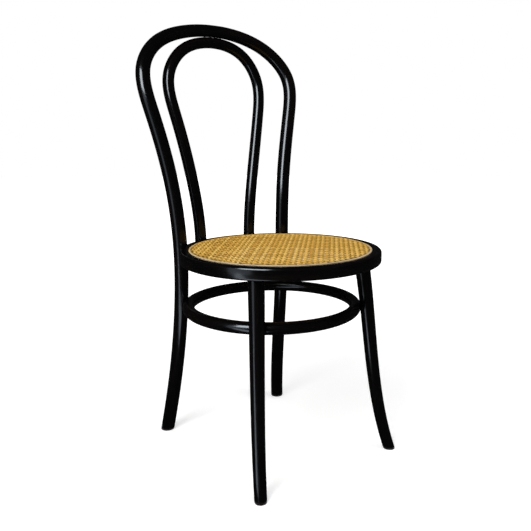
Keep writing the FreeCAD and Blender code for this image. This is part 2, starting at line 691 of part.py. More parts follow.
def make_fasteners(doc, chair):
    """Bolts, washers and nuts of the rear legs, each kind as one group."""
    groups = []
    for kind, make in (("bolt", make_bolt), ("washer", make_washer), ("nut", make_nut)):
        members = [make(doc, kind + "_" + hand, chair, side) for side, hand in SIDES.items()]
        groups.append(make_group(doc, "rear_leg_%ss" % kind, members))
    return groups


def make_pieces(doc, chair):
    """All pieces of the chair in the order in which it is put together."""
    pieces = [
        make_seat_ring(doc, chair),
        make_cane_panel(doc, chair),
        make_cane_spline(doc, chair),
        make_back_hoop(doc, chair),
        make_inner_back_loop(doc, chair),
        make_leg_ring(doc, chair),
    ]
    pieces += [make_front_leg(doc, chair, side, hand) for side, hand in SIDES.items()]
    return pieces + make_fasteners(doc, chair)


def check(doc, pieces):
    """Stop on any object that failed and on any piece that isn't made of the valid solids that it should be."""
    failed = [obj.Label for obj in doc.Objects if "Invalid" in obj.State or "Error" in obj.State]
    if failed:
        raise RuntimeError("failed objects: " + ", ".join(failed))
    for piece in pieces:
        shape = piece.Shape
        expected = len(piece.Links) if piece.isDerivedFrom("Part::Compound") else 1
        if shape.isNull() or not shape.isValid() or len(shape.Solids) != expected:
            raise RuntimeError("not valid solids: " + piece.Label)


def stand_on_origin(pieces):
    """Move every piece so that the origin lies on the floor under the middle of the chair.

    The boxes are taken from the true surfaces, not from their triangles and without any tolerance.
    """
    box = FreeCAD.BoundBox()
    triangles, tolerance = False, False
    for piece in pieces:
        box.add(piece.Shape.optimalBoundingBox(triangles, tolerance))
    shift = Placement(Vector(0, -(box.YMin + box.YMax) / 2, 0), Rotation())
    for piece in pieces:
        piece.Placement = shift * piece.Placement
    print("seat axis at y = %.3f mm" % shift.Base.y)


def write_parts(pieces):
    """Write each piece to a file of its own name."""
    os.makedirs("parts", exist_ok=True)
    for piece in pieces:
        piece.Shape.exportStep("parts/%s.step" % piece.Label)
        print("%-28s %12.1f mm3" % (piece.Label, piece.Shape.Volume))


def main():
    """Build the chair and write its pieces."""
    doc = FreeCAD.newDocument("bistro_chair")
    sheet = write_sizes(doc)
    chair = Chair(sheet)
    pieces = make_pieces(doc, chair)
    doc.recompute()
    check(doc, pieces)
    stand_on_origin(pieces)
    write_parts(pieces)


main()
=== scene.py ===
"""Looks of the bentwood bistro chair: black lacquered beech rods, a woven cane seat and its steel fixings.

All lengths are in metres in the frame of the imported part: X to the sitter's left, Y to the back, Z up, with the
origin on the floor under the middle of the chair. The seat's axis lies a little in front of that origin.
"""
from __future__ import annotations

import logging
import math
import random
from dataclasses import dataclass
from enum import Enum
from typing import Any, Iterable, Sequence

import bmesh
import bpy
import numpy as np
from bmesh.types import BMEdge, BMesh, BMVert
from bpy.types import Material, Mesh, Node, NodeSocket
from mathutils import Matrix, Vector

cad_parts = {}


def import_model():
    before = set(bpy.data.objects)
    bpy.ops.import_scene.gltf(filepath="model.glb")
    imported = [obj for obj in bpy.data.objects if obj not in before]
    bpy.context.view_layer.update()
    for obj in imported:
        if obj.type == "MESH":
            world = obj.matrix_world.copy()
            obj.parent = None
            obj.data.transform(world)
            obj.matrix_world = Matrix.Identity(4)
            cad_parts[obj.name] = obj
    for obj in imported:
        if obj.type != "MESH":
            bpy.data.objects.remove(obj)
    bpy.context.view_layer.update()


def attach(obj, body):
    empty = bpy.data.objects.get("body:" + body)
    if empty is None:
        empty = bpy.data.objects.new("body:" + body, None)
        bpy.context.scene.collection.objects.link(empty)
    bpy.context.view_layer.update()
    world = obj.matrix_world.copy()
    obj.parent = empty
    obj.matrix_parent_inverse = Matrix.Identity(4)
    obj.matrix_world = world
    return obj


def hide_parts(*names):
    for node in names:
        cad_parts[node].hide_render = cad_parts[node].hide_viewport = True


LOG = logging.getLogger("bistro_chair")
SEAT_AXIS = Vector((0.0, -0.026084, 0.0))
SEAT_TOP = 0.4318
SEAT_BOTTOM = 0.4066
LEG_RING_HEIGHT = 0.3063
BOLT_HEIGHT = 0.4192
BOLT_BEARING = 38.0
FOOT_WASTE = 0.012
FOOT_EASE = 0.0012
UP = Vector((0.0, 0.0, 1.0))
BACK = Vector((0.0, 1.0, 0.0))
GRAIN = "grain"
STRAIGHT = "straight"
TONE = "tone"
Triple = tuple[float, float, float]
Pattern = tuple[float, ...]


class Slot(Enum):
    """Material slots of the record."""

    LACQUER = "lacquered_beech"
    CANE = "cane"
    REED = "reed"
    STEEL = "zinc_steel"


class Side(Enum):
    """The sitter's left and right, as the sign of X."""

    LEFT = 1
    RIGHT = -1


class NodeBoard:
    """Short calls that put nodes in the tree of a material or a world and join them."""

    def __init__(self, owner: Material | bpy.types.World) -> None:
        """Start with an empty tree.

        Args:
            owner: the new material or world.
        """
        owner.use_nodes = True
        self.owner = owner
        self.nodes, self.links = owner.node_tree.nodes, owner.node_tree.links
        self.nodes.clear()

    def add(self, kind: str, inputs: dict[Any, Any] | None = None, **settings: Any) -> Node:
        """Add one node.

        Args:
            kind: type name of the node without its ShaderNode prefix.
            inputs: socket name or number, with a plain value or another node's output.
            settings: properties of the node.

        Returns:
            The new node.
        """
        node = self.nodes.new("ShaderNode" + kind)
        for prop, value in settings.items():
            setattr(node, prop, value)
        for socket, value in (inputs or {}).items():
            if isinstance(value, NodeSocket):
                self.links.new(value, node.inputs[socket])
            else:
                node.inputs[socket].default_value = value
        return node

    def place(self) -> NodeSocket:
        """Coordinates in metres, the same for every piece."""
        return self.add("TexCoord").outputs["Object"]

    def height(self) -> NodeSocket:
        """Height above the floor."""
        return self.add("SeparateXYZ", {0: self.place()}).outputs["Z"]

    def grain(self) -> NodeSocket:
        """Coordinates that follow a piece's grain: two across it, and the third along it."""
        return self.add("Attribute", attribute_name=GRAIN).outputs["Vector"]

    def noise(self, vector: NodeSocket, across: float, along: float, detail: float = 3.0, roughness: float = 0.5,
              distortion: float = 0.0) -> NodeSocket:
        """Soft random pattern, about 0.3 to 0.7, with so many features to the metre across and along."""
        scaled = self.add("Mapping", {"Vector": vector, "Scale": (across, across, along)}).outputs["Vector"]
        return self.add("TexNoise", {"Vector": scaled, "Scale": 1.0, "Detail": detail, "Roughness": roughness,
                                     "Distortion": distortion}).outputs["Fac"]

    def ramp(self, factor: NodeSocket, stops: Sequence[tuple[float, Triple]]) -> NodeSocket:
        """Colours along a factor.

        Args:
            factor: value from 0 to 1.
            stops: places on the ramp with their colours.

        Returns:
            The colour output.
        """
        node = self.add("ValToRGB", {"Fac": factor})
        elements = node.color_ramp.elements
        while len(elements) < len(stops):
            elements.new(1.0)
        for element, (place, colour) in zip(elements, stops):
            element.position = place
            element.color = (*colour, 1.0)
        return node.outputs["Color"]

    def span(self, value: NodeSocket, low: float, high: float, to_low: float = 0.0, to_high: float = 1.0
             ) -> NodeSocket:
        """Value carried from one range to another and kept inside it."""
        return self.add("MapRange", {"Value": value, "From Min": low, "From Max": high, "To Min": to_low,
                                     "To Max": to_high}).outputs["Result"]

    def math(self, operation: str, first: Any, second: Any) -> NodeSocket:
        """Result of an operation on two values."""
        return self.add("Math", {0: first, 1: second}, operation=operation).outputs["Value"]

    def mix(self, factor: Any, first: Any, second: Any, blend: str = "MIX") -> NodeSocket:
        """First colour with a share of the second laid on it."""
        ends = {number: (*end, 1.0) if isinstance(end, tuple) else end for number, end in ((6, first), (7, second))}
        return self.add("Mix", {0: factor, **ends}, data_type="RGBA", blend_type=blend).outputs[2]

    def shaded(self, colour: NodeSocket, shade: NodeSocket, blue: NodeSocket) -> NodeSocket:
        """Colour times a shade, with a shade of its own for its blue."""
        tint = self.add("CombineColor", {0: shade, 1: shade, 2: blue}).outputs["Color"]
        return self.mix(1.0, colour, tint, "MULTIPLY")

    def bump(self, height: NodeSocket, strength: float, depth: float, under: NodeSocket | None = None) -> NodeSocket:
        """Relief from a height of 0 to 1, its depth in metres, on the relief under it."""
        lower = {"Normal": under} if under else {}
        return self.add("Bump", {"Height": height, "Strength": strength, "Distance": depth, **lower}).outputs["Normal"]

    def close(self, shader: Node, output: str = "OutputMaterial") -> Any:
        """Send a shader to the output, and give back what the tree belongs to."""
        self.add(output, {"Surface": shader.outputs[0]})
        return self.owner

    def surface(self, **inputs: Any) -> Material:
        """Close the tree with a principled surface, its sockets named with underscores for spaces."""
        return self.close(self.add("BsdfPrincipled", {name.replace("_", " "): inputs[name] for name in inputs}))


@dataclass(frozen=True)
class BlackLacquer:
    """Gloss lacquer, black with a brown undertone, over the open grain of beech, and rubbed at the feet."""

    deep: Triple = (0.0014, 0.0014, 0.0016)
    warm: Triple = (0.0052, 0.0030, 0.0021)
    scuffed: Triple = (0.018, 0.011, 0.008)
    clouds: Pattern = (22.0, 2.6, 3.0, 0.6, 0.4)
    streaks: Pattern = (420.0, 9.0, 4.0, 0.62)
    pores: Pattern = (1500.0, 60.0, 2.0, 0.6)
    rubbed_below: tuple[float, float] = (0.0008, 0.0070)
    smooth: float = 0.12
    dull: float = 0.21
    specular: float = 0.20

    def material(self) -> Material:
        """Build the finish.

        Returns:
            The finished material.
        """
        board = NodeBoard(bpy.data.materials.new("black_lacquer"))
        cloud, streak, pore = (board.noise(board.grain(), *item) for item in (self.clouds, self.streaks, self.pores))
        tint = board.math("MULTIPLY", board.span(cloud, 0.42, 0.72), board.span(streak, 0.3, 0.7, 0.35))
        rubbed = board.math("MULTIPLY", board.span(board.height(), *self.rubbed_below, 1.0, 0.0),
                            board.span(streak, 0.4, 0.6))
        colour = board.mix(rubbed, board.mix(tint, self.deep, self.warm), self.scuffed)
        uneven = board.math("ADD", cloud, board.math("MULTIPLY", pore, 0.6))
        relief = board.bump(board.span(pore, 0.30, 0.46), 0.010, 0.0001, board.bump(streak, 0.015, 0.0004))
        return board.surface(Base_Color=colour, Roughness=board.span(uneven, 0.55, 1.15, self.smooth, self.dull),
                             Normal=relief, Specular_IOR_Level=self.specular)


@dataclass(frozen=True)
class WovenCane:
    """Natural cane: straw-gold bark with fine fibres, each strand of its own tone, with painted shade that makes it
    darker and warmer in the hollows of the weave and at its dipped edge.
    """

    pale: Triple = (0.97, 0.65, 0.190)
    golden: Triple = (0.89, 0.51, 0.096)
    brown: Triple = (0.46, 0.210, 0.030)
    patches: Pattern = (60.0, 14.0, 3.0, 0.6)
    fibres: Pattern = (2600.0, 45.0, 3.0, 0.65)
    tone_share: float = 0.55
    patch_share: float = 0.55
    # Painted shade: full at this height, and fading out over the depth above it.
    hollow: float = 0.4319
    painted_shade_depth: float = 0.0014
    specular: float = 0.06

    def material(self) -> Material:
        """Build the finish.

        Returns:
            The finished material.
        """
        board = NodeBoard(bpy.data.materials.new("woven_cane"))
        tone = board.add("Attribute", attribute_name=TONE).outputs["Fac"]
        patch, fibre = (board.noise(board.grain(), *item) for item in (self.patches, self.fibres))
        share = board.math("ADD", board.math("MULTIPLY", tone, self.tone_share),
                           board.math("MULTIPLY", patch, self.patch_share))
        colour = board.ramp(share, ((0.22, self.pale), (0.62, self.golden), (0.95, self.brown)))
        # Painted shade: the lower a point lies in the weave, the darker its colour and the less blue it keeps.
        rise = board.span(board.height(), self.hollow, self.hollow + self.painted_shade_depth)
        shade = board.math("MULTIPLY", board.span(fibre, 0.32, 0.62, 0.74, 1.06), board.span(rise, 0.0, 1.0, 0.24))
        blue = board.math("MULTIPLY", shade, board.span(rise, 0.0, 1.0, 0.66))
        return board.surface(Base_Color=board.shaded(colour, shade, blue), Normal=board.bump(fibre, 0.35, 0.00015),
                             Roughness=board.span(patch, 0.3, 0.7, 0.42, 0.60), Specular_IOR_Level=self.specular)


@dataclass(frozen=True)
class ReedSpline:
    """Split reed, cream to tan, with open pores along it."""

    pale: Triple = (0.76, 0.55, 0.275)
    tan: Triple = (0.56, 0.36, 0.150)
    patches: Pattern = (90.0, 8.0, 3.0, 0.6)
    pores: Pattern = (1900.0, 40.0, 3.0, 0.65)

    def material(self) -> Material:
        """Build the finish.

        Returns:
            The finished material.
        """
        board = NodeBoard(bpy.data.materials.new("reed_spline"))
        patch, pore = (board.noise(board.grain(), *item) for item in (self.patches, self.pores))
        shade = board.span(pore, 0.3, 0.6, 0.66, 1.05)
        colour = board.shaded(board.ramp(patch, ((0.34, self.pale), (0.68, self.tan))), shade, shade)
        return board.surface(Base_Color=colour, Roughness=board.span(pore, 0.3, 0.7, 0.62, 0.48),
                             Normal=board.bump(pore, 0.4, 0.00018))


@dataclass(frozen=True)
class ZincSteel:
    """Zinc plated steel of small fixings, slightly dulled."""

    bright: Triple = (0.58, 0.58, 0.57)
    dull: Triple = (0.34, 0.335, 0.32)
    spots: Pattern = (700.0, 700.0, 4.0, 0.6)

    def material(self) -> Material:
        """Build the finish.

        Returns:
            The finished material.
        """
        board = NodeBoard(bpy.data.materials.new("zinc_steel"))
        spot = board.noise(board.place(), *self.spots)
        return board.surface(Base_Color=board.ramp(spot, ((0.35, self.bright), (0.70, self.dull))), Metallic=1.0,
                             Roughness=board.span(spot, 0.3, 0.7, 0.24, 0.46), Normal=board.bump(spot, 0.1, 0.0001))


class Finishes:
    """The object's materials, each made once."""

    def __init__(self) -> None:
        """Make every finish."""
        self.made = {Slot.LACQUER: BlackLacquer().material(), Slot.CANE: WovenCane().material(),
                     Slot.REED: ReedSpline().material(), Slot.STEEL: ZincSteel().material()}

    def dress(self, name: str, shape: BMesh, slot: Slot, nodes: Sequence[str] = (), crease: float = 35.0) -> None:
        """Turn a finished shape into a piece that rides on the chair.

        Args:
            name: name of the piece.
            shape: its shape, which is freed.
            slot: material slot that it takes its finish from.
            nodes: nodes of the part that it stands for.
            crease: angle in degrees above which an edge stays sharp.
        """
        mesh = mesh_of(name, shape)
        for polygon in mesh.polygons:
            polygon.use_smooth = True
        mesh.set_sharp_from_angle(angle=math.radians(crease))
        mesh.materials.append(self.made[slot])
        piece = linked(name, mesh)
        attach(piece, "root")
        if nodes:
            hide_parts(*nodes)
        LOG.info("%s: %d faces, stands for %s", name, len(mesh.polygons), ", ".join(nodes) or "nothing")


def mesh_of(name: str, shape: BMesh) -> Mesh:
    """Turn a shape into a mesh.

    Args:
        name: name of the mesh.
        shape: its shape, which is freed.

    Returns:
        The new mesh.
    """
    mesh = bpy.data.meshes.new(name)
    shape.to_mesh(mesh)
    shape.free()
    return mesh


def linked(name: str, data: Any) -> bpy.types.Object:
    """Put an object in the scene.

    Args:
        name: name of the object.
        data: its mesh, lamp or camera.

    Returns:
        The new object.
    """
    item = bpy.data.objects.new(name, data)
    bpy.context.scene.collection.objects.link(item)
    return item


def spot(x: float, y: float, z: float) -> Vector:
    """Point given from the foot of the seat's axis."""
    return SEAT_AXIS + Vector((x, y, z))


def polar(radius: float, bearing: float, height: float) -> Vector:
    """Point about the seat's axis, its bearing in degrees from the back towards +X."""
    turn = math.radians(bearing)
    return spot(radius * math.sin(turn), radius * math.cos(turn), height)


def square_to(centre: Vector, along: Vector, radius: float, aside: Vector = BACK) -> Matrix:
    """Place of a unit outline that is set square to a direction and grown to a radius.

    Args:
        centre: middle of the outline.
        along: direction that it is square to.
        radius: size to which it grows.
        aside: direction that its first axis lies across.

    Returns:
        The matrix from the unit outline to its place.
    """
    ahead = along.normalized()
    across = ahead.cross(aside).normalized()
    turn = Matrix((across, ahead.cross(across), ahead)).transposed().to_4x4()
    return Matrix.Translation(centre) @ turn @ Matrix.Diagonal((radius, radius, radius, 1.0))


class SmoothLine:
    """Curve that runs through its knots with an even bend, like a rod bent round pegs."""

    def __init__(self, knots: Sequence[Vector]) -> None:
        """Work out the curve's slope at each knot.

        Args:
            knots: points on the curve, four or more.
        """
        self.knots = np.array([tuple(knot) for knot in knots])
        chords = np.diff(self.knots, axis=0)
        gaps = np.linalg.norm(chords, axis=1)
        self.places = np.concatenate(([0.0], np.cumsum(gaps)))
        self.length = float(self.places[-1])
        count = len(self.knots)
        matrix = np.eye(count)
        slopes = np.zeros((count, 3))
        slopes[0] = self._end_slope(slice(0, 4), 0)
        slopes[-1] = self._end_slope(slice(count - 4, count), 3)
        for i in range(1, count - 1):
            before, after = gaps[i - 1], gaps[i]
            matrix[i, i - 1:i + 2] = (1 / before, 2 / before + 2 / after, 1 / after)
            slopes[i] = 3 * (chords[i - 1] / before ** 2 + chords[i] / after ** 2)
        self.slopes = np.linalg.solve(matrix, slopes)

    def _end_slope(self, part: slice, at: int) -> np.ndarray:
        """Slope at one end of the cubic through four knots."""
        places, knots = self.places[part], self.knots[part]
        return np.array([np.polyval(np.polyder(np.polyfit(places - places[at], knots[:, axis], 3)), 0.0)
                         for axis in range(3)])

    def at(self, place: float) -> tuple[Vector, Vector]:
        """Point and direction at a place, straight on past the ends.

        Args:
            place: distance along the chords of the knots.

        Returns:
            The point and the unit direction.
        """
        inside = min(max(place, 0.0), self.length)
        i = min(int(np.searchsorted(self.places, inside, side="right")) - 1, len(self.places) - 2)
        gap = self.places[i + 1] - self.places[i]
        t = (inside - self.places[i]) / gap
        start, end = self.knots[i], self.knots[i + 1]
        leave, arrive = self.slopes[i] * gap, self.slopes[i + 1] * gap
        point = ((2 * t ** 3 - 3 * t ** 2 + 1) * start + (t ** 3 - 2 * t ** 2 + t) * leave
                 + (3 * t ** 2 - 2 * t ** 3) * end + (t ** 3 - t ** 2) * arrive)
        slope = ((6 * t ** 2 - 6 * t) * (start - end) + (3 * t ** 2 - 4 * t + 1) * leave
                 + (3 * t ** 2 - 2 * t) * arrive)
        direction = Vector(slope / gap)
        return Vector(point) + direction * (place - inside), direction.normalized()


@dataclass
class Rod:
    """A bent round rod whose thickness changes evenly from knot to knot."""

    knots: Sequence[Vector]
    radii: dict[int, float]
    overrun: float = 0.0
    step: float = 0.009
    segments: int = 40

    def __post_init__(self) -> None:
        """Lay the line and the places where the thickness is known."""
        self.line = SmoothLine(self.knots)
        self.known = list(zip(*sorted((self.line.places[index], self.radii[index]) for index in self.radii)))

    def radius(self, place: float) -> float:
        """Thickness at a place on the line."""
        return float(np.interp(place, *self.known))

    def shape(self) -> BMesh:
        """Sweep the rod.

        Returns:
            Its closed shape, with grain coordinates that follow the bend.
        """
        low, high = -self.overrun, self.line.length + self.overrun
        count = int((high - low) / self.step)
        stations = []
        for i in range(count + 1):
            place = low + (high - low) * i / count
            point, along = self.line.at(place)
            stations.append((place, square_to(point, along, self.radius(place))))
        return swept(stations, self.segments)


def only(kind: type, geometry: Iterable[Any]) -> list[Any]:
    """Elements of one kind out of an operator's result."""
    return [item for item in geometry if isinstance(item, kind)]


def swept(stations: Sequence[tuple[float, Matrix]], segments: int, closed: bool = False) -> BMesh:
    """Carry a circle from station to station.

    Args:
        stations: distance along the rod and place of a unit circle, one after another.
        segments: sides of the circle.
        closed: whether the last station runs into the first.

    Returns:
        The shape, with capped ends where it isn't closed. The grain coordinates on its face corners say where each
        would lie if the rod were straight.
    """
    shape = bmesh.new()
    straight = shape.verts.layers.float_vector.new(STRAIGHT)
    ring = bmesh.ops.create_circle(shape, segments=segments, radius=1.0, cap_ends=not closed)["verts"]
    outline = [vert.co.copy() for vert in ring]
    order = {vert: i for i, vert in enumerate(ring)}
    opening = edges = list(shape.edges)
    for number, (distance, place) in enumerate(stations):
        if number:
            made = bmesh.ops.extrude_edge_only(shape, edges=edges)["geom"]
            edges = only(BMEdge, made)
            order = {vert: next(order[edge.other_vert(vert)] for edge in vert.link_edges
                                if edge.other_vert(vert) in order) for vert in only(BMVert, made)}
        size = place.to_scale()[0]
        for vert, i in order.items():
            vert.co = place @ outline[i]
            vert[straight] = Vector((outline[i].x * size, outline[i].y * size, distance))
    if closed:
        bmesh.ops.bridge_loops(shape, edges=edges + opening)
    else:
        bmesh.ops.holes_fill(shape, edges=edges, sides=0)
    bmesh.ops.recalc_face_normals(shape, faces=shape.faces)
    grain = shape.loops.layers.float_vector.new(GRAIN)
    for face in shape.faces:
        for loop in face.loops:
            loop[grain] = loop.vert[straight]
    return shape


def rounded(shape: BMesh, edges: Sequence[BMEdge], radius: float, segments: int) -> None:
    """Round some edges of a shape."""
    bmesh.ops.bevel(shape, geom=edges, offset=radius, segments=segments, profile=0.5, affect="EDGES", material=-1)


def cut_off(shape: BMesh, normal: Vector, distance: float, keep_ahead: bool = False, ease: float = 0.0) -> None:
    """Cut a shape off at a plane, close it there and ease the new edge.

    Args:
        shape: shape to cut.
        normal: direction ahead of the plane.
        distance: distance of the plane from the origin in that direction.
        keep_ahead: which side stays.
        ease: width of the eased edge, or 0.
    """
    made = bmesh.ops.bisect_plane(shape, geom=shape.verts[:] + shape.edges[:] + shape.faces[:], dist=1e-7,
                                  plane_co=normal * distance, plane_no=normal, clear_inner=keep_ahead,
                                  clear_outer=not keep_ahead)["geom_cut"]
    rims = only(BMEdge, made)
    bmesh.ops.holes_fill(shape, edges=rims, sides=0)
    if ease:
        rounded(shape, [edge for edge in rims if edge.is_valid], ease, 3)
    bmesh.ops.recalc_face_normals(shape, faces=shape.faces)


def turned(outline: Sequence[tuple[float, float]], steps: int, place: Matrix | None = None,
           rounds: dict[int, tuple[float, int]] | None = None) -> BMesh:
    """Turn an outline about Z, round its named corners and set it in place.

    Args:
        outline: distance from the axis and height of each corner, in order. It is closed to a ring unless it
            starts and ends on the axis.
        steps: number of steps in the full turn.
        place: where the turned shape goes.
        rounds: corner number, with the radius and the segments of its rounding.

    Returns:
        The turned shape, with grain coordinates round the axis.
    """
    shape = bmesh.new()
    corners = [shape.verts.new((x, 0.0, z)) for x, z in outline]
    on_axis = outline[0][0] == 0.0
    pairs = list(zip(corners, corners[1:])) + ([] if on_axis else [(corners[-1], corners[0])])
    edges = [shape.edges.new(pair) for pair in pairs]
    bmesh.ops.spin(shape, geom=corners + edges, axis=UP, angle=2 * math.pi, steps=steps, use_merge=True)
    bmesh.ops.remove_doubles(shape, verts=shape.verts, dist=1e-6)
    bmesh.ops.recalc_face_normals(shape, faces=shape.faces)
    for number, (radius, segments) in (rounds or {}).items():
        chosen = [edge for edge in shape.edges if all(
            math.dist((math.hypot(*vert.co.xy), vert.co.z), outline[number]) < 1e-5 for vert in edge.verts)]
        rounded(shape, chosen, radius, segments)
    grain = shape.loops.layers.float_vector.new(GRAIN)
    reach = max(x for x, _ in outline)
    for face in shape.faces:
        middle = face.calc_center_median()
        base = math.atan2(middle.y, middle.x)
        for loop in face.loops:
            corner = loop.vert.co
            turn = math.remainder(math.atan2(corner.y, corner.x) - base, 2 * math.pi) + base
            loop[grain] = Vector((math.hypot(corner.x, corner.y), corner.z, turn * reach))
    if place is not None:
        bmesh.ops.transform(shape, matrix=place, verts=shape.verts)
    return shape


def joined(shapes: Iterable[BMesh]) -> BMesh:
    """Several shapes in one.

    Args:
        shapes: the shapes, which are freed.

    Returns:
        One shape that holds them all.
    """
    whole = bmesh.new()
    for shape in shapes:
        passing = mesh_of("passing", shape)
        whole.from_mesh(passing)
        bpy.data.meshes.remove(passing)
    return whole


def hollowed(shape: BMesh, cutters: Iterable[BMesh]) -> BMesh:
    """A shape less others, by an exact boolean.

    Args:
        shape: the shape that is cut, which is freed.
        cutters: shapes that are taken away, which are freed.

    Returns:
        The cut shape.
    """
    blank, cutter = linked("blank", mesh_of("blank", shape)), linked("cutter", mesh_of("cutter", joined(cutters)))
    modifier = blank.modifiers.new("hollow", "BOOLEAN")
    modifier.object = cutter
    modifier.operation = "DIFFERENCE"
    modifier.solver = "EXACT"
    evaluated = blank.evaluated_get(bpy.context.evaluated_depsgraph_get())
    result = bmesh.new()
    result.from_mesh(evaluated.to_mesh())
    evaluated.to_mesh_clear()
    for item in (blank, cutter):
        mesh = item.data
        bpy.data.objects.remove(item)
        bpy.data.meshes.remove(mesh)
    return result


@dataclass
class Backrest:
    """The tall hoop that is back and rear legs in one, and the loop inside it."""

    finishes: Finishes
    hoop_distance: float = 0.2192
    hoop_top: float = 0.878
    loop_bearing: float = 17.4
    loop_distance: float = 0.2169
    loop_end: float = 0.4096
    lean: float = 8.0
    reach: float = 0.0242

    def both_halves(self, half: Sequence[Vector], radii: dict[int, float], overrun: float = 0.0) -> Rod:
        """Rod that is the same on both sides.

        Args:
            half: its knots on the +X side, the last one on the middle plane.
            radii: its radii at knots of that half.
            overrun: length added at both ends.

        Returns:
            The whole rod.
        """
        knots = [Vector((-knot.x, knot.y, knot.z)) for knot in half[:-1]] + list(half[::-1])
        last = len(knots) - 1
        return Rod(knots, {**radii, **{last - index: radius for index, radius in radii.items()}}, overrun)

    def hoop(self) -> Rod:
        """Rod of the rear legs and the outer back.

        Returns:
            The rod.
        """
        top = self.hoop_top
        return self.both_halves([
            spot(0.1560, 0.2230, 0.0), spot(0.1449, 0.2063, 0.100), spot(0.1349, 0.1768, LEG_RING_HEIGHT),
            polar(self.hoop_distance, BOLT_BEARING, BOLT_HEIGHT),
            spot(0.1462, 0.1809, SEAT_TOP + 0.128), spot(0.1750, 0.1966, top - 0.178),
            spot(0.1830, 0.2130, top - 0.092), spot(0.1370, 0.2340, top - 0.033),
            spot(0.0750, 0.2416, top - 0.008), spot(0.0, 0.2422, top),
        ], {0: 0.01464, 2: 0.0149, 3: 0.0150, 6: 0.0146, 9: 0.0125}, FOOT_WASTE)

    def loop(self) -> Rod:
        """Rod of the inner back.

        Returns:
            The rod.
        """
        lean = math.radians(self.lean)
        top = self.hoop_top - self.reach * math.cos(lean)
        return self.both_halves([
            polar(self.loop_distance, self.loop_bearing, self.loop_end),
            polar(self.loop_distance, self.loop_bearing, SEAT_TOP),
            spot(0.0790, 0.2117, SEAT_TOP + 0.128), spot(0.1070, 0.2257, top - 0.155),
            spot(0.1128, 0.2380, top - 0.075), spot(0.0780, 0.2433, top - 0.0228),
            spot(0.0, 0.2422 + self.reach * math.sin(lean), top),
        ], {0: 0.0127, 4: 0.0123, 6: 0.0116})

    def build(self, bolts: Hardware) -> None:
        """Make and dress both rods.

        Args:
            bolts: the fixings, which give the places of the bolts' holes.
        """
        hoop = self.hoop().shape()
        cut_off(hoop, UP, 0.0, True, FOOT_EASE)
        hoop = hollowed(hoop, bolts.sunk(bolts.head_radius, bolts.shoulder))
        self.finishes.dress("back_hoop_bent", hoop, Slot.LACQUER, ["back_hoop"])
        self.finishes.dress("inner_back_loop_bent", self.loop().shape(), Slot.LACQUER, ["inner_back_loop"])


@dataclass
class FrontLegs:
    """Two turned and slightly bent front legs with their tenons."""

    finishes: Finishes
    top_distance: float = 0.1656
    bearing: float = 53.0
    tenon_radius: float = 0.011
    tenon_length: float = 0.018

    def rod(self, side: Side) -> Rod:
        """Rod of one leg.

        Args:
            side: which leg.

        Returns:
            The rod.
        """
        sign = side.value
        knots = [spot(sign * x, -y, z) for x, y, z in (
            (0.1690, 0.1586, 0.0), (0.1556, 0.1346, 0.100), (0.1402, 0.1115, LEG_RING_HEIGHT))]
        knots.append(polar(self.top_distance, sign * (180.0 - self.bearing), SEAT_BOTTOM))
        return Rod(knots, {0: 0.01197, 2: 0.0146, 3: 0.0159}, FOOT_WASTE)

    def build(self) -> None:
        """Make and dress both legs."""
        for side in Side:
            rod = self.rod(side)
            leg = rod.shape()
            cut_off(leg, UP, 0.0, True, FOOT_EASE)
            cut_off(leg, UP, SEAT_BOTTOM)
            top = max(leg.faces, key=lambda face: face.calc_center_median().z)
            middle, along = rod.line.at(rod.line.length)
            shrink = self.tenon_radius / rod.radius(rod.line.length)
            made = bmesh.ops.extrude_discrete_faces(leg, faces=[top])["faces"]
            rim = only(BMVert, bmesh.ops.extrude_face_region(leg, geom=made)["geom"])
            base = [vert for face in made if face.is_valid for vert in face.verts]
            for verts, rise in ((base, 0.0), (rim, self.tenon_length)):
                bmesh.ops.scale(leg, vec=(shrink, shrink, shrink), verts=verts, space=Matrix.Translation(-middle))
                bmesh.ops.translate(leg, vec=along * rise, verts=verts)
            node = "front_leg_" + side.name.lower()
            self.finishes.dress(node + "_turned", leg, Slot.LACQUER, [node])


@dataclass
class LegRing:
    """Bent ring that braces the four legs from inside."""

    finishes: Finishes
    middle_y: float = 0.0300
    bend: float = 0.1743
    radius: float = 0.0122
    steps: int = 150
    segments: int = 36

    @property
    def middle(self) -> Vector:
        """Middle of the ring."""
        return spot(0.0, self.middle_y, LEG_RING_HEIGHT)

    def build(self) -> None:
        """Make and dress the ring."""
        stations = []
        for i in range(self.steps):
            turn = 2 * math.pi * i / self.steps
            outward = Vector((math.sin(turn), math.cos(turn), 0.0))
            ahead = Vector((math.cos(turn), -math.sin(turn), 0.0))
            stations.append((turn * self.bend, square_to(self.middle + outward * self.bend, ahead, self.radius, UP)))
        self.finishes.dress("leg_ring_bent", swept(stations, self.segments, True), Slot.LACQUER, ["leg_ring"])


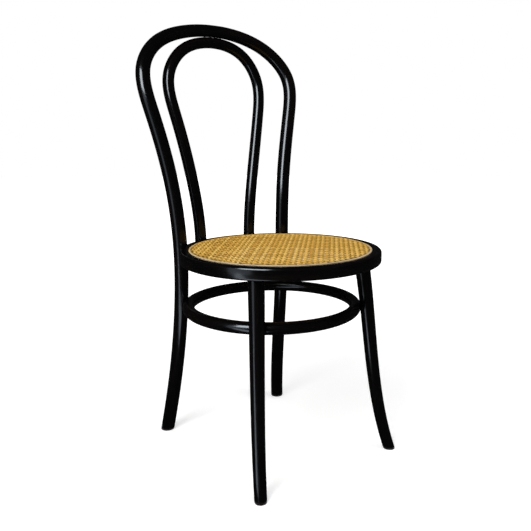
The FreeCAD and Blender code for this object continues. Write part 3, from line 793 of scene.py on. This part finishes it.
@dataclass
class SeatRing:
    """Bent beech ring of the seat with the groove for the cane."""

    finishes: Finishes
    outer: float = 0.20494
    inner: float = 0.151
    ledge_drop: float = 0.0011
    groove_outer: float = 0.1857
    groove_inner: float = 0.1799
    groove_depth: float = 0.007
    top_round: float = 0.0055
    bottom_round: float = 0.0045
    inner_round: float = 0.003
    groove_ease: float = 0.0005
    steps: int = 180

    def build(self, bolts: Hardware) -> None:
        """Make and dress the ring.

        Args:
            bolts: the fixings, which give the recesses of the washers.
        """
        floor = SEAT_TOP - self.groove_depth
        ledge = SEAT_TOP - self.ledge_drop
        outline = [
            (self.inner, SEAT_BOTTOM), (self.outer, SEAT_BOTTOM), (self.outer, SEAT_TOP),
            (self.groove_outer, SEAT_TOP), (self.groove_outer, floor), (self.groove_inner, floor),
            (self.groove_inner, ledge), (self.inner, ledge),
        ]
        rounds = {0: (self.inner_round, 3), 1: (self.bottom_round, 6), 2: (self.top_round, 8),
                  3: (self.groove_ease, 2)}
        ring = turned(outline, self.steps, Matrix.Translation(SEAT_AXIS), rounds)
        ring = hollowed(ring, bolts.sunk(bolts.washer_radius, bolts.washer_back, -1.0))
        self.finishes.dress("seat_ring_bent", ring, Slot.LACQUER, ["seat_ring"])


class Strand(Enum):
    """The six families of strands in the weave: degrees of turn, and side of the pair, 0 for a diagonal."""

    FIRST_UPRIGHT = (0.0, -1)
    SECOND_UPRIGHT = (0.0, 1)
    FIRST_CROSS = (90.0, -1)
    SECOND_CROSS = (90.0, 1)
    RISING = (-45.0, 0)
    FALLING = (45.0, 0)

    def __init__(self, turn: float, side: int) -> None:
        """Keep both numbers under their names."""
        self.turn, self.side = turn, side


@dataclass
class CaneSeat:
    """Six-way woven cane, stretched over the seat and held in its groove by a reed spline."""

    finishes: Finishes
    pitch: float = 0.0140
    lay: float = 3.2
    width: float = 0.0031
    diagonal_width: float = 0.0047
    thickness: float = 0.0013
    flat_share: float = 0.82
    under_share: float = 0.62
    pair_gap: float = 0.0033
    level: float = 0.43175
    radius: float = 0.1812
    wave: float = 0.00052
    diagonal_wave: float = 0.00100
    diagonal_rise: float = 0.00050
    edge_width: float = 0.0075
    edge_dip: float = 0.0009
    spline_outer: float = 0.1856
    spline_top: float = 0.4325
    spline_round: float = 0.0013
    groove_floor: float = 0.4248
    steps: int = 180
    crease: float = 80.0
    seed: int = 11

    def height(self, kind: Strand, place: float) -> float:
        """Rise of a strand above the middle of the weave.

        Args:
            kind: family of the strand.
            place: distance along it from the seat's axis.

        Returns:
            The rise.
        """
        if not kind.side:
            swing = self.diagonal_wave * math.cos(2 * math.pi * place / (self.pitch * math.sqrt(2.0)))
            return self.diagonal_rise + swing
        offset = math.remainder(place, self.pitch) / self.pair_gap
        return -kind.side * self.wave * math.sin(math.pi * max(-1.0, min(1.0, offset)))

    def prototype(self, kind: Strand) -> Mesh:
        """One full-length strand of a family along Y through the origin.

        Args:
            kind: family of the strand.

        Returns:
            Its mesh.
        """
        if kind.side:
            half, period = self.width / 2, self.pitch
            beats = [share * self.pair_gap for share in (-1.05, -0.78, -0.5, -0.22, 0.0, 0.22, 0.5, 0.78, 1.05)]
            beats.append(period / 2)
        else:
            half, period = self.diagonal_width / 2, self.pitch * math.sqrt(2.0)
            beats = [period * i / 8 for i in range(8)]
        repeats = int(self.radius / period) + 2
        places = [period * i + beat for i in range(-repeats, repeats) for beat in beats]
        shape = bmesh.new()
        straight = shape.verts.layers.float_vector.new(STRAIGHT)
        flat, under = half * self.flat_share, half * self.under_share
        top, bottom = self.thickness * 0.42, -self.thickness * 0.5
        section = ((-half, 0.0), (-flat, top), (flat, top), (half, 0.0), (under, bottom), (-under, bottom))
        verts = [shape.verts.new((x, places[0], z)) for x, z in section]
        edges = [shape.edges.new(pair) for pair in zip(verts, verts[1:] + verts[:1])]
        shape.faces.new(verts)
        for place, following in zip(places, places[1:]):
            made = bmesh.ops.extrude_edge_only(shape, edges=edges)["geom"]
            edges = only(BMEdge, made)
            bmesh.ops.translate(shape, vec=(0.0, following - place, 0.0), verts=only(BMVert, made))
        bmesh.ops.holes_fill(shape, edges=edges, sides=0)
        for vert in shape.verts:
            vert[straight] = vert.co
            vert.co.z += self.height(kind, vert.co.y)
        bmesh.ops.recalc_face_normals(shape, faces=shape.faces)
        return mesh_of("strand", shape)

    def placed(self, mesh: Mesh, turn: float, offset: float, shift: float, tone: float) -> BMesh:
        """One strand cut to the seat's round edge.

        Args:
            mesh: full-length strand along Y.
            turn: degrees that it is turned about Z.
            offset: distance of the strand from the seat's axis.
            shift: distance that its pattern is moved along it.
            tone: its own shade from 0 to 1.

        Returns:
            The strand.
        """
        shape = bmesh.new()
        shape.from_mesh(mesh)
        bmesh.ops.translate(shape, vec=(offset, shift, 0.0), verts=shape.verts)
        end = math.sqrt(self.radius ** 2 - offset ** 2)
        for way in (-BACK, BACK):
            cut_off(shape, way, end)
        shade = shape.verts.layers.float.new(TONE)
        grain = shape.loops.layers.float_vector.new(GRAIN)
        straight = shape.verts.layers.float_vector[STRAIGHT]
        for vert in shape.verts:
            vert[shade] = tone
            near = max(0.0, math.hypot(vert.co.x, vert.co.y) - self.radius + self.edge_width) / self.edge_width
            vert.co.z -= self.edge_dip * near * near
        for face in shape.faces:
            for loop in face.loops:
                across, along, rise = loop.vert[straight]
                loop[grain] = Vector((across + offset, rise + tone, along + 7.0 * tone))
        turned_by = Matrix.Rotation(math.radians(turn + self.lay), 4, "Z")
        place = Matrix.Translation(SEAT_AXIS + UP * self.level) @ turned_by
        bmesh.ops.transform(shape, matrix=place, verts=shape.verts)
        return shape

    def family(self, kind: Strand, chance: random.Random) -> list[BMesh]:
        """All strands of a family.

        Args:
            kind: the family.
            chance: source of the strands' shades.

        Returns:
            The strands.
        """
        mesh = self.prototype(kind)
        spacing = self.pitch if kind.side else self.pitch / math.sqrt(2.0)
        reach = int(self.radius / spacing) + 1
        strands = []
        for number in range(-reach, reach + 1):
            offset, shift, tone = number * spacing, 0.0, chance.random()
            if kind.side:
                offset += kind.side * (self.pair_gap / 2)
            else:
                offset += spacing / 2
                shift = spacing / 2 if number % 2 == 0 else -spacing / 2
            if abs(offset) <= self.radius - 0.002:
                strands.append(self.placed(mesh, kind.turn, offset, shift, tone))
        bpy.data.meshes.remove(mesh)
        return strands

    def build(self) -> None:
        """Make and dress the weave and the spline."""
        chance = random.Random(self.seed)
        groups = {"cane_uprights": (Strand.FIRST_UPRIGHT, Strand.SECOND_UPRIGHT),
                  "cane_crosses": (Strand.FIRST_CROSS, Strand.SECOND_CROSS),
                  "cane_diagonals": (Strand.RISING, Strand.FALLING)}
        for name, kinds in groups.items():
            strands = [strand for kind in kinds for strand in self.family(kind, chance)]
            self.finishes.dress(name, joined(strands), Slot.CANE, ["cane_panel"], self.crease)
        outline = [(self.radius, self.groove_floor), (self.spline_outer, self.groove_floor),
                   (self.spline_outer, self.spline_top), (self.radius, self.spline_top)]
        rounds = {2: (self.spline_round, 4), 3: (self.spline_round, 4)}
        spline = turned(outline, self.steps, Matrix.Translation(SEAT_AXIS), rounds)
        self.finishes.dress("reed_spline", spline, Slot.REED, ["cane_spline"])


@dataclass
class Hardware:
    """Bolts, washers, nuts and countersunk screws, with the rods that they hold."""

    finishes: Finishes
    ring: LegRing
    back: Backrest
    legs: FrontLegs
    shoulder: float = 0.2306
    washer_back: float = 0.1532
    head_radius: float = 0.0075
    head_height: float = 0.003
    head_rim: float = 0.0008
    shank: float = 0.003
    shank_ease: float = 0.0004
    washer_radius: float = 0.008
    washer_thickness: float = 0.0012
    washer_ease: float = 0.0003
    nut_width: float = 0.010
    nut_height: float = 0.005
    tail: float = 0.002
    play: float = 0.0001
    recess: float = 0.02
    screw_head: float = 0.0039
    screw_rim: float = 0.0003
    screw_cone: float = 0.0024
    screw_shank: float = 0.002
    screw_length: float = 0.030
    screw_point: float = 0.034
    screw_sunk: float = 0.0002
    screw_aside: float = 0.020
    slot_size: Triple = (0.012, 0.0010, 0.0020)
    steps: int = 40
    seed: int = 5

    def outward(self, side: Side, bearing: float) -> Vector:
        """Level direction away from the seat's axis."""
        return (polar(1.0, side.value * bearing, 0.0) - SEAT_AXIS).normalized()

    def at(self, side: Side, distance: float, towards: float = 1.0) -> Matrix:
        """Place on a bolt's line, its Z axis outward or inward."""
        point = polar(distance, side.value * BOLT_BEARING, BOLT_HEIGHT)
        return square_to(point, self.outward(side, BOLT_BEARING) * towards, 1.0, UP)

    def sunk(self, radius: float, distance: float, towards: float = 1.0) -> list[BMesh]:
        """Cutters for round recesses on both bolts' lines."""
        outline = [(0.0, 0.0), (radius + self.play, 0.0), (radius + self.play, self.recess), (0.0, self.recess)]
        return [turned(outline, self.steps, self.at(side, distance, towards)) for side in Side]

    def bolt(self, side: Side) -> BMesh:
        """One bolt with a domed head.

        Args:
            side: side of the chair that it is on.

        Returns:
            The bolt.
        """
        length = self.shoulder - self.washer_back + self.washer_thickness + self.nut_height + self.tail
        dome = [(self.head_radius * math.cos(turn),
                 self.head_rim + (self.head_height - self.head_rim) * math.sin(turn))
                for turn in (i * math.pi / 12 for i in range(6))]
        outline = [(0.0, -length), (self.shank - self.shank_ease, -length), (self.shank, -length + self.shank_ease),
                   (self.shank, 0.0), (self.head_radius, 0.0), *dome, (0.0, self.head_height)]
        return turned(outline, 32, self.at(side, self.shoulder))

    def washer(self, side: Side) -> BMesh:
        """One flat washer.

        Args:
            side: side of the chair that it is on.

        Returns:
            The washer.
        """
        bore = self.shank + self.play
        outline = [(bore, 0.0), (self.washer_radius, 0.0), (self.washer_radius, self.washer_thickness),
                   (bore, self.washer_thickness)]
        rounds = {corner: (self.washer_ease, 2) for corner in (1, 2)}
        return turned(outline, self.steps, self.at(side, self.washer_back, -1.0), rounds)

    def nut(self, side: Side) -> BMesh:
        """One six-sided nut with bevelled corners.

        Args:
            side: side of the chair that it is on.

        Returns:
            The nut.
        """
        shape = bmesh.new()
        across = self.nut_width / math.sqrt(3.0)
        bmesh.ops.create_cone(shape, cap_ends=True, cap_tris=False, segments=6, radius1=across, radius2=across,
                              depth=self.nut_height, matrix=Matrix.Translation(UP * self.nut_height / 2))
        caps = [face for face in shape.faces if len(face.verts) == 6]
        bmesh.ops.inset_individual(shape, faces=caps, thickness=across - self.nut_width / 2 + 0.0002, depth=0.0004)
        bmesh.ops.transform(shape, matrix=self.at(side, self.washer_back - self.washer_thickness, -1.0),
                            verts=shape.verts)
        return shape

    def screw(self, head: Vector, inward: Vector, turn: float) -> BMesh:
        """Head and shank of one countersunk screw with a slot.

        Args:
            head: middle of the head's face.
            inward: direction of the point.
            turn: degrees that the slot is turned.

        Returns:
            The screw.
        """
        outline = [(0.0, -self.screw_point), (self.screw_shank, -self.screw_length),
                   (self.screw_shank, -self.screw_cone), (self.screw_head, -self.screw_rim),
                   (self.screw_head - self.screw_rim, 0.0), (0.0, 0.0)]
        slot = bmesh.new()
        bmesh.ops.create_cube(slot, size=1.0, matrix=Matrix.Rotation(math.radians(turn), 4, "Z")
                              @ Matrix.Diagonal((*self.slot_size, 1.0)))
        screw = hollowed(turned(outline, 28), [slot])
        place = square_to(head, inward * -1.0, 1.0, UP if abs(inward.z) < 0.9 else BACK)
        bmesh.ops.transform(screw, matrix=place, verts=screw.verts)
        return screw

    def screws(self) -> list[BMesh]:
        """Screws at the leg ring, at the loop's ends and at its top.

        Returns:
            The screws.
        """
        ring, back = self.ring, self.back
        hoop_knot, loop = back.hoop().knots[2], back.loop()
        lean = math.radians(back.lean)
        upward = Vector((0.0, -math.sin(lean), math.cos(lean)))
        under_top = [loop.line.at(loop.line.length * share / 2000)[0] for share in range(900, 1100)]
        places = []
        for side in Side:
            hoop_side = Vector((-side.value * hoop_knot.x, hoop_knot.y, hoop_knot.z))
            for knot in (hoop_side, self.legs.rod(side).knots[2]):
                outward = (knot - ring.middle).normalized()
                places.append((ring.middle + outward * (ring.bend - ring.radius + self.screw_sunk), outward))
            end = polar(back.loop_distance + loop.radii[0] - self.screw_sunk, side.value * back.loop_bearing,
                        BOLT_HEIGHT)
            places.append((end, self.outward(side, back.loop_bearing) * -1.0))
            top = min(under_top, key=lambda point: abs(point.x - side.value * self.screw_aside))
            places.append((top - upward * (loop.radii[6] - self.screw_sunk), upward))
        chance = random.Random(self.seed)
        return [self.screw(head, inward, chance.uniform(0.0, 180.0)) for head, inward in places]

    def build(self) -> None:
        """Make and dress the fixings."""
        for name, make in (("bolts", self.bolt), ("washers", self.washer), ("nuts", self.nut)):
            fixings = joined([make(side) for side in Side])
            self.finishes.dress("steel_" + name, fixings, Slot.STEEL, ["rear_leg_" + name])
        self.finishes.dress("lacquered_screws", joined(self.screws()), Slot.LACQUER)


class Lights(Enum):
    """What a softbox is there for."""

    COLOUR = "colour"
    GLOSS = "gloss"


@dataclass(frozen=True)
class Softbox:
    """One soft lamp: where it stands, where it faces, its size, power and colour."""

    name: str
    lights: Lights
    place: Triple
    target: Triple
    size: tuple[float, float]
    power: float
    colour: Triple = (1.0, 1.0, 1.0)


SOFTBOXES = (
    Softbox("key", Lights.COLOUR, (-2.2, -0.9, 2.3), (0.0, 0.0, 0.4), (1.4, 1.4), 60.0),
    Softbox("fill", Lights.COLOUR, (1.6, -2.2, 1.8), (0.0, 0.0, 0.4), (1.6, 1.6), 30.0),
    Softbox("tall_left", Lights.GLOSS, (-1.90, -0.80, 1.62), (0.17, 0.17, 0.7), (1.20, 1.3), 160.0,
            (0.84, 0.93, 1.0)),
    Softbox("low_left", Lights.GLOSS, (-1.64, -0.34, 0.52), (-0.16, -0.16, 0.3), (0.75, 1.0), 5.5,
            (0.76, 0.88, 1.0)),
    Softbox("floor_left", Lights.GLOSS, (-1.16, -0.28, 0.012), (-1.16, -0.28, 1.0), (1.66, 0.26), 9.0,
            (0.76, 0.88, 1.0)),
)


@dataclass
class Studio:
    """Camera, pale floor and soft lights."""

    eye: Triple = (-0.7974, -1.07108, 0.6629)
    azimuth: float = -38.92
    elevation: float = 11.59
    roll: float = 0.08
    lens: float = 44.35
    sensor: float = 36.0
    shift: tuple[float, float] = (-0.0618, 0.0013)
    floor_radius: float = 9.0
    floor_glow: tuple[float, float, float, float] = (0.4, 2.2, 0.42, 1.0)
    surround: float = 0.45
    card_distance: float = 3.4
    card_height: float = 4.0
    card_middle: float = 2.004

    def camera(self) -> None:
        """Set the camera where the photograph was taken from."""
        turn, rise = math.radians(self.azimuth), math.radians(self.elevation)
        away = Vector((math.sin(turn) * math.cos(rise), -math.cos(turn) * math.cos(rise), math.sin(rise)))
        right = Vector((math.cos(turn), math.sin(turn), 0.0))
        basis = Matrix((right, away.cross(right), away)).transposed().to_4x4()
        data = bpy.data.cameras.new("camera")
        data.sensor_width, data.lens, data.clip_start = self.sensor, self.lens, 0.01
        data.shift_x, data.shift_y = self.shift
        camera = linked("camera", data)
        camera.matrix_world = (Matrix.Translation(Vector(self.eye)) @ basis
                               @ Matrix.Rotation(math.radians(self.roll), 4, "Z"))
        bpy.context.scene.camera = camera

    def lamp(self, lamp: Softbox) -> None:
        """Add one softbox.

        Args:
            lamp: its sizes, place and light.
        """
        data = bpy.data.lights.new(lamp.name, "AREA")
        data.shape = "RECTANGLE"
        data.size, data.size_y = lamp.size
        data.energy = lamp.power
        data.color = lamp.colour
        place, target = Vector(lamp.place), Vector(lamp.target)
        item = linked(lamp.name, data)
        item.matrix_world = Matrix.Translation(place) @ (place - target).to_track_quat("Z", "Y").to_matrix().to_4x4()
        item.visible_camera = False
        item.visible_diffuse = lamp.lights is Lights.COLOUR
        item.visible_glossy = lamp.lights is Lights.GLOSS

    def seen(self, board: NodeBoard) -> NodeSocket:
        """Tell the rays that see what they hit from those that only light it.

        Args:
            board: tree that asks.

        Returns:
            1 for rays from the camera, from gloss and through glass, else 0.
        """
        path = board.add("LightPath").outputs
        both = board.math("MAXIMUM", path["Is Camera Ray"], path["Is Glossy Ray"])
        return board.math("MAXIMUM", both, path["Is Transmission Ray"])

    def stage(self, name: str, shape: BMesh, material: Material) -> bpy.types.Object:
        """Set up a piece of the stage.

        Args:
            name: name of the piece.
            shape: its shape, which is freed.
            material: its material.

        Returns:
            The piece.
        """
        item = linked(name, mesh_of(name, shape))
        item.data.materials.append(material)
        return item

    def floor(self) -> None:
        """Lay the pale floor, which glows more with distance for rays that see it."""
        board = NodeBoard(bpy.data.materials.new("pale_floor"))
        cloud = board.noise(board.place(), 3.0, 3.0)
        matt = board.add("BsdfDiffuse", {"Color": board.ramp(cloud, ((0.3, (0.86,) * 3), (0.7, (0.88,) * 3)))})
        away = board.add("VectorMath", {0: board.place()}, operation="LENGTH").outputs["Value"]
        strength = board.math("MULTIPLY", self.seen(board), board.span(away, *self.floor_glow))
        glow = board.add("Emission", {"Color": (1.0, 1.0, 1.0, 1.0), "Strength": strength})
        both = board.add("AddShader", {0: matt.outputs[0], 1: glow.outputs[0]})
        shape = bmesh.new()
        bmesh.ops.create_circle(shape, cap_ends=True, segments=96, radius=self.floor_radius)
        self.stage("floor", shape, board.close(both))

    def dark_cards(self) -> None:
        """Stand dark cards all round and over the set, which only gloss sees."""
        board = NodeBoard(bpy.data.materials.new("dark_card"))
        colour = board.ramp(board.noise(board.place(), 1.0, 1.0),
                            ((0.3, (0.015, 0.015, 0.016)), (0.7, (0.025, 0.025, 0.026))))
        shape = bmesh.new()
        bmesh.ops.create_cone(shape, cap_ends=True, segments=48, radius1=self.card_distance,
                              radius2=self.card_distance, depth=self.card_height,
                              matrix=Matrix.Translation(UP * self.card_middle))
        cards = self.stage("dark_cards", shape, board.close(board.add("BsdfDiffuse", {"Color": colour})))
        cards.visible_camera = cards.visible_diffuse = cards.visible_shadow = False

    def world(self) -> None:
        """Surround the chair with even light and a white background."""
        world = bpy.data.worlds.new("studio")
        bpy.context.scene.world = world
        board = NodeBoard(world)
        strength = board.span(self.seen(board), 0.0, 1.0, self.surround, 1.0)
        board.close(board.add("Background", {"Color": (1.0, 1.0, 1.0, 1.0), "Strength": strength}), "OutputWorld")

    def build(self) -> None:
        """Set the stage."""
        bpy.context.scene.view_settings.view_transform = "Standard"
        self.camera()
        self.floor()
        self.world()
        self.dark_cards()
        for lamp in SOFTBOXES:
            self.lamp(lamp)


def main() -> None:
    """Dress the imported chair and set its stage."""
    logging.basicConfig(level=logging.INFO, format="%(name)s: %(message)s")
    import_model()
    finishes = Finishes()
    back, legs, ring = Backrest(finishes), FrontLegs(finishes), LegRing(finishes)
    hardware = Hardware(finishes, ring, back, legs)
    back.build(hardware)
    legs.build()
    ring.build()
    SeatRing(finishes).build(hardware)
    CaneSeat(finishes).build()
    hardware.build()
    Studio().build()


if __name__ == "__main__":
    main()
